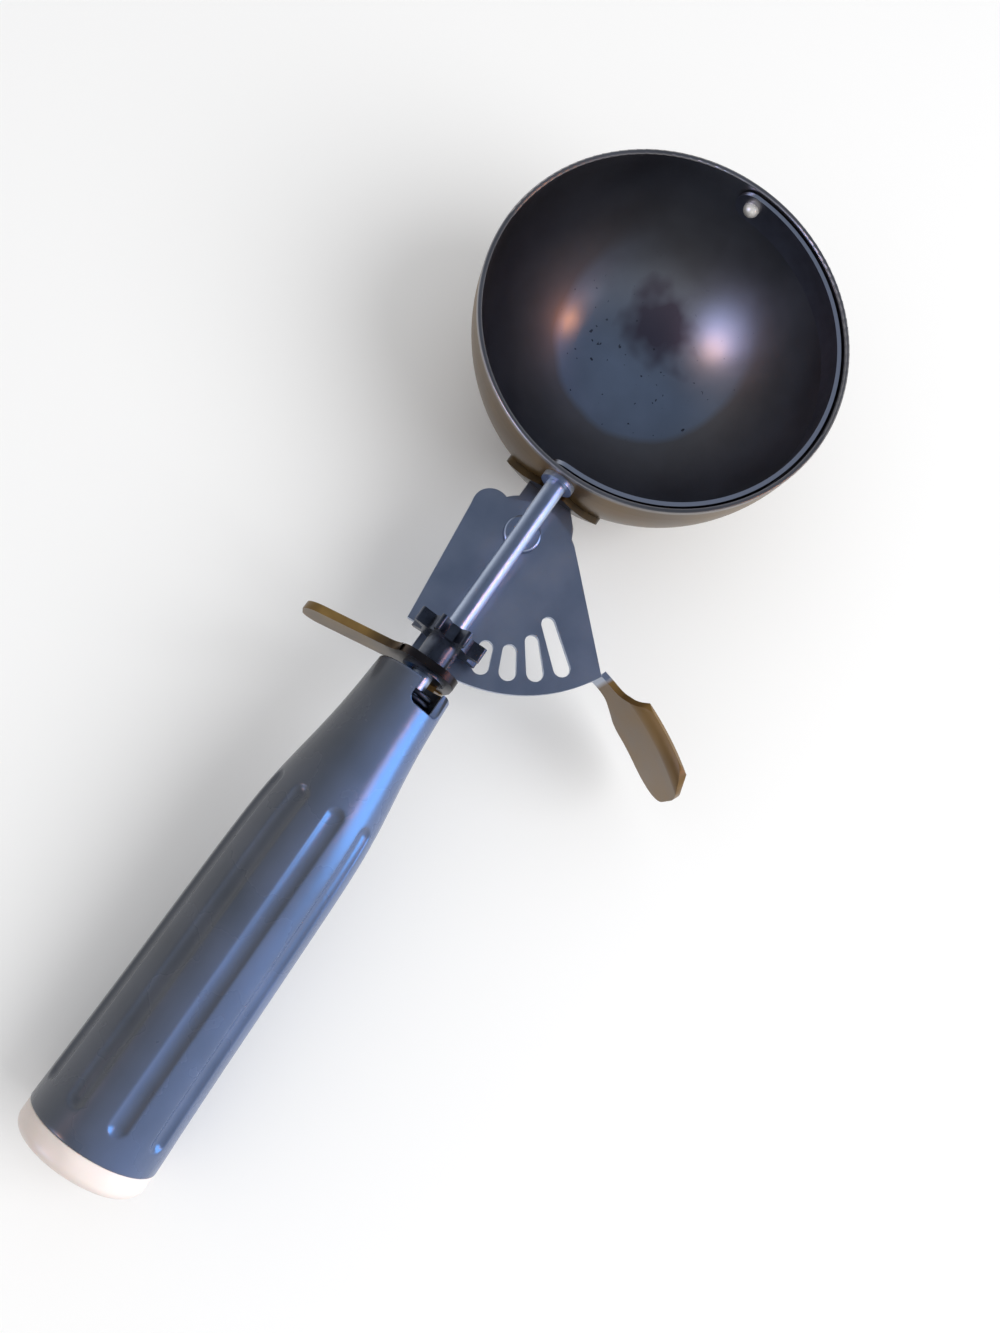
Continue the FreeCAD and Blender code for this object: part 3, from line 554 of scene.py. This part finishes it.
def sewn(name, rows, start_pole, end_pole, material):
    """rows is an array (along, around, 3) in metres; quads join its neighbours, and fans round
    the two poles close its ends."""
    along, around = rows.shape[:2]
    points = np.vstack([rows.reshape(-1, 3), start_pole, end_pole])
    i, j = np.meshgrid(np.arange(along - 1), np.arange(around), indexing="ij")
    here, there, k = i * around, (i + 1) * around, (j + 1) % around
    quads = np.stack([here + j, here + k, there + k, there + j], -1).reshape(-1, 4)
    ring = np.arange(around)
    after = (ring + 1) % around
    last = (along - 1) * around
    first_fan = np.stack([np.full(around, along * around), after, ring], -1)
    last_fan = np.stack([np.full(around, along * around + 1), last + ring, last + after], -1)
    mesh = bpy.data.meshes.new(name)
    mesh.from_pydata(points, [], quads.tolist() + first_fan.tolist() + last_fan.tolist())
    work = bmesh.new()
    work.from_mesh(mesh)
    bmesh.ops.recalc_face_normals(work, faces=work.faces)
    work.to_mesh(mesh)
    work.free()
    mesh.polygons.foreach_set("use_smooth", np.ones(len(mesh.polygons), bool))
    mesh.set_sharp_from_angle(angle=SHARP)
    mesh.materials.append(material)
    piece = bpy.data.objects.new(name, mesh)
    bpy.context.scene.collection.objects.link(piece)
    print(name, "faces", len(mesh.polygons))
    return piece


# %% [markdown]
# ## The grip
# The grip is one moulding: a slim neck with a notch for the spindle's tail, a cone, and a long
# barrel with nine shallow flutes. Moulded flutes have soft shoulders that blend into the land
# between them. Cutting them with bars would leave sharp edges. So the radius is written as a
# smooth profile along the grip less the depth of the nearest flute, and a soft maximum rounds
# the flute's shoulders.

# %% The grip's numbers, in millimetres
# Its axis starts at the front, runs back and falls a little. Its outside radius is given at
# stations along it, each flute is the sink of a round bar, and SHOULDER is how soft its edge is.
HANDLE_FRONT = np.array([-80.6, 0.6, -1.6])
HANDLE_RUN, HANDLE_FALL = 170.0 - 80.6, 5.5 - 1.6
HANDLE_DROP = math.atan2(HANDLE_FALL, HANDLE_RUN)
HANDLE_LENGTH = math.hypot(HANDLE_RUN, HANDLE_FALL)
STATIONS = np.array([0, 5, 10, 15, 20, 25, 30, 35, 45, 60, 75, HANDLE_LENGTH])
RADII = np.array([7.3, 7.58, 7.95, 8.5, 9.2, 9.9, 10.43, 10.7, 10.93, 11.15, 11.4, 11.75])
FLUTES, FLUTE_RADIUS, FLUTE_DEPTH, FLUTE_TURN = 9, 2.2, 0.75, math.radians(13.5)
FLUTE_START, FLUTE_END, SHOULDER = 27.5, HANDLE_LENGTH - 6.0, 0.12
print("grip length", round(HANDLE_LENGTH, 2), " drop", round(math.degrees(HANDLE_DROP), 2), "deg")

# %% Its profile and its flutes


def profile(x):
    """Natural cubic through the stations: the second derivatives solve one tridiagonal system."""
    h = np.diff(STATIONS)
    slope = np.diff(RADII) / h
    last = len(STATIONS) - 1
    inner = np.arange(1, last)
    system = np.eye(last + 1)
    system[inner, inner - 1] = h[:-1]
    system[inner, inner] = 2 * (h[:-1] + h[1:])
    system[inner, inner + 1] = h[1:]
    bend = np.linalg.solve(system, np.concatenate([[0.0], 6 * np.diff(slope), [0.0]]))
    i = np.clip(np.searchsorted(STATIONS, x) - 1, 0, last - 1)
    a = (STATIONS[i + 1] - x) / h[i]
    b = 1 - a
    cubic = ((a ** 3 - a) * bend[i] + (b ** 3 - b) * bend[i + 1]) * h[i] ** 2 / 6
    return a * RADII[i] + b * RADII[i + 1] + cubic


def flute_depth(x, angle, radius):
    """Depth of the nearest flute: how far a round bar sinks in at its distance, through a soft
    maximum with nothing, which is half of the sink plus the root of its square and SHOULDER's."""
    pitch = 2 * np.pi / FLUTES
    off = (angle - FLUTE_TURN + pitch / 2) % pitch - pitch / 2
    past = np.maximum(0, np.maximum(FLUTE_START - x, x - FLUTE_END))
    away = np.minimum(np.hypot(radius * off, past), FLUTE_RADIUS)
    sink = FLUTE_DEPTH - FLUTE_RADIUS + np.sqrt(FLUTE_RADIUS ** 2 - away ** 2)
    return (sink + np.sqrt(sink ** 2 + SHOULDER ** 2)) / 2


print("grip radius at the neck and the cap:", profile(np.array([0.0, 88.0])).round(2))

# %% [markdown]
# The notch makes room for the spindle's tail at the top of the neck. Subtracting a block would cut
# it, but would leave ragged faces in a fine grid. So the rows themselves step back inside it,
# between two planes, one beside the spindle and one a little above its middle. Angles go round
# from the top of the grip towards the thumb, and each column of points keeps its own angle on the
# neck's outside and on the bore, so both planes stay flat between the two.

# %% The notch and the columns
# Millimetres, but radians for the gaps between columns: COLUMNS go evenly round, more crowd in
# beside the notch's two walls, and WALL is how much each wall slants.
NOTCH_DEPTH, NOTCH_LEFT, NOTCH_FLOOR, NOTCH_CORNER = 4.6, -0.3, 1.2, 1.6
NECK_RADIUS, BORE_RADIUS, BORE_END = 7.45, 5.0, 26.4
BORE_SIDE, BORE_RISE = -HANDLE_FRONT[1], -HANDLE_FRONT[2]
NOTCH_ROUND, NECK_ROUND = 0.25, 0.7
COLUMNS, WALL = 360, 0.006
window = np.array([math.asin((HANDLE_FRONT[1] - NOTCH_LEFT) / NECK_RADIUS),
                   math.acos((NOTCH_FLOOR - HANDLE_FRONT[2]) / NECK_RADIUS)])
bore_window = np.array([math.asin(-NOTCH_LEFT / BORE_RADIUS),
                        math.acos(NOTCH_FLOOR / BORE_RADIUS)])
even = np.linspace(-np.pi, np.pi, COLUMNS + 1)[:-1]
near = np.array([WALL, 0.015, 0.03, 0.05, 0.08, 0.12, 0.17])
angles = np.unique(np.concatenate([even, window[:1] - WALL, window[0] + near,
                                   window[1] - near, window[1:] + WALL]))
bore_angles = np.interp(angles, [-np.pi, *window, np.pi], [-np.pi, *bore_window, np.pi])
in_notch = (angles > window[0]) & (angles < window[1])
from_side = np.minimum(angles - window[0], window[1] - angles) * NECK_RADIUS
corner = np.clip(NOTCH_CORNER - from_side, 0, NOTCH_CORNER)
rounded_floor = NOTCH_DEPTH - NOTCH_CORNER + np.sqrt(NOTCH_CORNER ** 2 - corner ** 2)
notch = np.where(in_notch, rounded_floor, 0.0)
rim = np.where(in_notch, NOTCH_ROUND, NECK_ROUND)
print("columns", len(angles), " notch window in degrees", np.degrees(window).round(1))

# %% Rows round the grip and round its bore


def ring(x, radius):
    """A row round the grip: (x, -radius sin angle, radius cos angle)."""
    return np.stack([x + 0 * angles, -radius * np.sin(angles), radius * np.cos(angles)], -1)


def bore_ring(x, radius=BORE_RADIUS):
    """A row round the bore: the same circle by the bore's angles, round a middle that climbs from
    the grip's own as the grip drops away below it."""
    middle = BORE_RISE + x * math.tan(HANDLE_DROP)
    return np.stack([x + 0 * angles, BORE_SIDE - radius * np.sin(bore_angles),
                     middle + radius * np.cos(bore_angles)], -1)


print("bore middle at its end", bore_ring(BORE_END).mean(0).round(2))

# %% The bore and the front face
# The rows run out along the bore, over its broken edge, across the front face in three shares,
# and round the neck's rounded front edge, where bend is the angle along that round.
BORE_ROWS, BORE_STEP, BORE_EDGE_X, BORE_EDGE_R = 10, 0.4, 0.3, 0.2
FACE_SHARES = (0.3, 0.65)
FRONT_BENDS = np.radians(np.linspace(0, 80, 5))
rows = [bore_ring(x) for x in np.linspace(BORE_END, NOTCH_DEPTH + BORE_STEP, BORE_ROWS)]
rows += [bore_ring(notch + BORE_EDGE_X), bore_ring(notch, BORE_RADIUS + BORE_EDGE_R)]
front_edge = ring(notch, profile(notch) - rim)
rows += [rows[-1] * (1 - share) + front_edge * share for share in FACE_SHARES]
for bend in FRONT_BENDS:
    x = notch + rim * (1 - math.cos(bend))
    rows.append(ring(x, profile(x) - rim * (1 - math.sin(bend))))
print("rows so far", len(rows))

# %% The barrel
# Each stretch of rows is from, to and how many; they crowd where the flutes start and end. The
# front's wavy edge, with the notch in it, straightens out over the first FADE millimetres.
FADE, END_ROUND = 15.0, 0.25
STRETCHES = [(0.8, 25, 30), (25.2, 29.4, 22), (30, 81, 60), (81.3, 86, 24),
             (86.4, HANDLE_LENGTH - END_ROUND, 6)]
steps = np.concatenate([np.linspace(*stretch) for stretch in STRETCHES])
for step in steps:
    x = step + (notch + rim - steps[0]) * max(0.0, 1 - (step - steps[0]) / FADE)
    radius = profile(x)
    rows.append(ring(x, radius - flute_depth(x, angles, radius)))
print("rows so far", len(rows))

# %% The end and the cap's socket
SOCKET_RADIUS, SOCKET_DEPTH, SOCKET_EDGE, SEAT = 6.52, 9.0, 0.1, 2
END_BENDS = np.radians([30, 60, 90])
for bend in END_BENDS:
    rows.append(ring(HANDLE_LENGTH - END_ROUND * (1 - math.sin(bend)),
                     RADII[-1] - END_ROUND * (1 - math.cos(bend))))
rows += [ring(HANDLE_LENGTH, SOCKET_RADIUS + SEAT),
         ring(HANDLE_LENGTH, SOCKET_RADIUS + SOCKET_EDGE),
         ring(HANDLE_LENGTH - SOCKET_EDGE, SOCKET_RADIUS),
         ring(HANDLE_LENGTH - SOCKET_DEPTH, SOCKET_RADIUS)]
rows = np.stack(rows)
print("rows", rows.shape)

# %% From the handle's axes to the tool's


def from_handle(points):
    """x runs from the grip's front to its cap and z points up from the grip's own axis: turn both
    by the drop, with x reversed, and add the front's place."""
    c, s = math.cos(HANDLE_DROP), math.sin(HANDLE_DROP)
    x, y, z = points[..., 0], points[..., 1], points[..., 2]
    return np.stack([-x * c - z * s, y, -x * s + z * c], -1) + HANDLE_FRONT


bore_middle = bore_ring(BORE_END).mean(0, keepdims=True)
socket_middle = np.array([[HANDLE_LENGTH - SOCKET_DEPTH, 0.0, 0.0]])
grip = sewn("grip_moulding", laid(from_handle(rows)), laid(from_handle(bore_middle)),
            laid(from_handle(socket_middle)), grip_plastic)
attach(grip, BODY_OF["handle_grip"])
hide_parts("handle_grip")

# %% [markdown]
# ## The end cap
# The cap is a shallow moulded disc with a plug that presses into the grip's end. A Screw modifier
# could turn a drawn profile, but the same rows as the grip's give a closed mesh at once.
# So its rows are circles, and the profile carries the plug, the seat and a soft corner.

# %% A lathed cap
# Each pair is x behind the grip's end and the radius, in millimetres.
CAP_RADIUS, CAP_LENGTH, CAP_ROUND, PLUG_RADIUS = 11.62, 4.4, 1.9, 6.45
CAP_COLUMNS, CROWN = 128, 0.22
PLUG = [(-7.9, PLUG_RADIUS - 0.3), (-7.6, PLUG_RADIUS), (0.02, PLUG_RADIUS)]
EDGE = [(0.02, CAP_RADIUS - 0.3), (0.05, CAP_RADIUS - 0.12), (0.25, CAP_RADIUS)]
TOP = [(CAP_LENGTH + 0.12, 6.0), (CAP_LENGTH + 0.2, 2.0)]
bends = np.radians(np.linspace(0, 90, 9))
soft_corner = np.stack([CAP_LENGTH - CAP_ROUND * (1 - np.sin(bends)),
                        CAP_RADIUS - CAP_ROUND * (1 - np.cos(bends))], -1)
outline = np.vstack([PLUG, EDGE, soft_corner, TOP])
cap_x, cap_r = outline[:, :1], outline[:, 1:]
around = np.linspace(-np.pi, np.pi, CAP_COLUMNS + 1)[:-1]
rows = np.stack([HANDLE_LENGTH + cap_x + 0 * around, -cap_r * np.sin(around),
                 cap_r * np.cos(around)], -1)
ends = np.array([[HANDLE_LENGTH + outline[0, 0], 0, 0],
                 [HANDLE_LENGTH + CAP_LENGTH + CROWN, 0, 0]])
cap = sewn("cap_moulding", laid(from_handle(rows)), laid(from_handle(ends[:1])),
           laid(from_handle(ends[1:])), cap_plastic)
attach(cap, BODY_OF["end_cap"])
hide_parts("end_cap")

# %% [markdown]
# ## The return spring
# A torsion spring is wound round the spindle's tail inside the neck; its first turns show in the
# notch. A bevelled curve could make it, but the grip's rows suit it as well: the wire is a circle
# carried along a helix, so a point is the helix's point plus the wire's radius along the outward
# and the sideways directions.

# %% A wound spring
WIRE, COIL_RADIUS = 0.5, 3.6
COIL_START, COIL_END, COIL_PITCH = -100.4, -82.7, 1.12
STEPS_PER_TURN, WIRE_SIDES = 40, 12


def coil():
    """Rows along the helix, columns round the wire: centre + wire (cos b outward + sin b along
    x)."""
    turns = (COIL_END - COIL_START) / COIL_PITCH
    a = np.linspace(0, 2 * np.pi * turns, int(turns * STEPS_PER_TURN))[:, None]
    b = np.linspace(0, 2 * np.pi, WIRE_SIDES + 1)[:-1][None, :]
    x = COIL_START + COIL_PITCH * a / (2 * np.pi)
    reach = COIL_RADIUS + WIRE * np.cos(b)
    middle = np.concatenate([x, COIL_RADIUS * np.cos(a), COIL_RADIUS * np.sin(a)], -1)
    return np.stack([x + WIRE * np.sin(b), reach * np.cos(a), reach * np.sin(a)], -1), middle


wire, middle = coil()
spring = sewn("return_spring_coil", laid(wire), laid(middle[:1]), laid(middle[-1:]), spring_wire)
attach(spring, BODY_OF["return_spring"])
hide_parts("return_spring")

# %% [markdown]
# ## Floor
# The scoop lies on a matt white table, which to the eye is an even white that only takes shadows.
# A modelled table would draw the eye away, so one large square is enough.

# %% Floor
FLOOR_HALF = 4.0
floor_mesh = bpy.data.meshes.new("floor")
corners = [(-FLOOR_HALF, -FLOOR_HALF, 0), (FLOOR_HALF, -FLOOR_HALF, 0),
           (FLOOR_HALF, FLOOR_HALF, 0), (-FLOOR_HALF, FLOOR_HALF, 0)]
floor_mesh.from_pydata(corners, [], [(0, 1, 2, 3)])
floor = bpy.data.objects.new("floor", floor_mesh)
bpy.context.scene.collection.objects.link(floor)
table = shader("matt_white_table", Roughness=0.8, Base_Color=linear("#f6f6f6"))[0]
floor_mesh.materials.append(table)
print("floor", 2 * FLOOR_HALF, "m across")

# %% [markdown]
# ## Light
# The main light is a large white panel from the thumb's side, which throws the soft shadow to the
# left and stays out of the reflections. A blue panel low on the right lights only the grip, which
# gives the gloss down its side, and a paler one lights the lever, the spindle and the cap. The
# small lamps only make reflections: a warm streak on the bowl's left, and a cool glow with a warm
# heart on its right. One bright room could give all of this at once, but then no reflection could
# be moved without the shadow.

# %% Lamps
AIM = Vector((0, 0, 0.02))     # the middle of the scoop, in metres


def lamp(name, towards, distance, size, watts, colour, **seen):
    """An area lamp at a distance in a direction from the object's middle, aimed back at it."""
    data = bpy.data.lights.new(name, "AREA")
    data.shape = "DISK"
    data.size = size
    data.energy = watts
    data.color = linear(colour)[:3]
    made = bpy.data.objects.new(name, data)
    bpy.context.scene.collection.objects.link(made)
    for key, value in seen.items():
        setattr(made, key, value)
    direction = Vector(towards).normalized()
    made.location = direction * distance + AIM
    made.rotation_euler = direction.to_track_quat("Z", "Y").to_euler()
    return made


lamp("window", towards=(0.05, -0.70, 0.71), distance=1.0, size=0.9, watts=6.3,
     colour="#ffffff", visible_glossy=False)
lamp("warm_streak", towards=(0.14, -0.80, 0.58), distance=0.885, size=0.07, watts=0.5,
     colour="#ff9c55", visible_diffuse=False)
lamp("small_spot", towards=(-0.193, -0.837, 0.512), distance=0.854, size=0.03, watts=0.03,
     colour="#e8ecff", visible_diffuse=False)
lamp("cool_glow", towards=(-0.73, 0.57, 0.38), distance=0.82, size=0.4, watts=2.1,
     colour="#a9c2ff", visible_diffuse=False)
lamp("warm_heart", towards=(-0.616, 0.581, 0.532), distance=0.834, size=0.09, watts=0.65,
     colour="#ffb266", visible_diffuse=False)
print("lamps:", [light.name for light in bpy.data.lights])

# %% The blue panels and what they light
strong = lamp("handle_panel", towards=(0.30, -0.91, 0.29), distance=0.9, size=0.7, watts=25.0,
              colour="#5fa6ff")
gentle = lamp("metal_panel", towards=(0.34, -0.85, 0.40), distance=0.9, size=0.8, watts=3.5,
              colour="#a3c2ff")
handle_only = bpy.data.collections.new("lit_by_the_handle_panel")
handle_only.objects.link(grip)
metal_too = bpy.data.collections.new("lit_by_the_metal_panel")
left_out = (floor, grip, frame["nodes"]["bowl"], frame["nodes"]["scraper_blade"])
for piece in list(bpy.context.scene.collection.all_objects):
    if piece.type == "MESH" and piece not in left_out:
        metal_too.objects.link(piece)
strong.light_linking.receiver_collection = handle_only
gentle.light_linking.receiver_collection = metal_too

# %% [markdown]
# ## Room
# The room is pale near the horizon and slate blue overhead, which is what upward steel mirrors.
# One even colour would make all steel look flat, and the slate alone would tint the table. So the
# ramp is what reflections see, and matt surfaces take an even neutral light.

# %% World
world = bpy.data.worlds.new("room")
world.use_nodes = True
tree = world.node_tree
direction = add(tree, "TexCoord").outputs["Generated"]
height = add(tree, "SeparateXYZ", {"Vector": direction}).outputs["Z"]
sky = add(tree, "ValToRGB", {"Fac": height},
          stops=[(0.0, "#f2f2f2"), (0.3, "#bfc2c9"), (0.75, "#6f7785")]).outputs["Color"]
matt = add(tree, "LightPath").outputs["Is Diffuse Ray"]
seen = add(tree, "Mix", {FACTOR: matt, COLOUR_A: sky, COLOUR_B: linear("#dedede")},
           data_type="RGBA").outputs[MIXED]
tree.links.new(seen, tree.nodes["Background"].inputs["Color"])
bpy.context.scene.world = world
print("world nodes:", len(tree.nodes))
